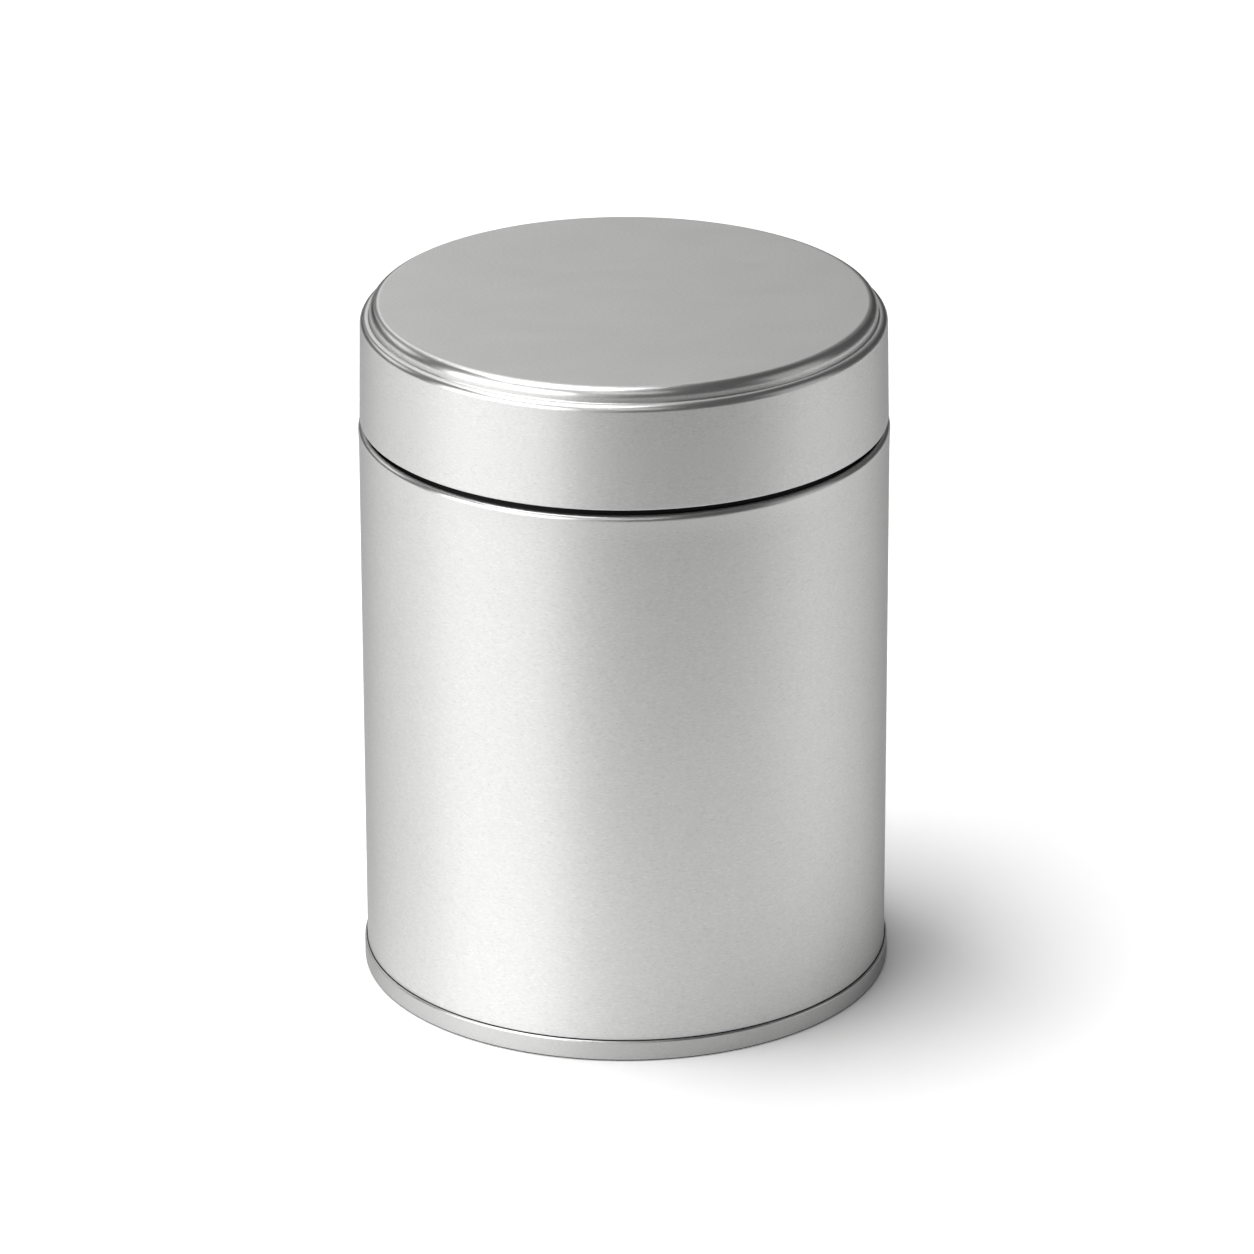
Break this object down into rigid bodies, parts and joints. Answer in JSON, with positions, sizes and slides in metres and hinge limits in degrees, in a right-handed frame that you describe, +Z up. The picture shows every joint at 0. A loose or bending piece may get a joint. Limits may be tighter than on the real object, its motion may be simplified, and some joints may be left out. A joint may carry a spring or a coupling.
{
  "type": "tea tin",
  "caption": "Round upright tin for loose tea, shut, with a slip-on lid that has a raised panel, a rolled shoulder and a seamed bottom end.",
  "frame": {"origin": "centre of the circle that the tin stands on, on the ground", "axes": "+Z up the tin's axis to the lid; the front faces -Y and the welded side seam is at the back, on +Y"},
  "size_m": [0.0758, 0.0758, 0.1003],
  "materials": {
    "tinplate": "plain satin tinplate with a very fine grain, glossier where the sheet is drawn round an edge"
  },
  "bodies": {
    "root": {"base": "tinplate", "body": "tinplate", "lid": "tinplate"}
  },
  "joints": []
}
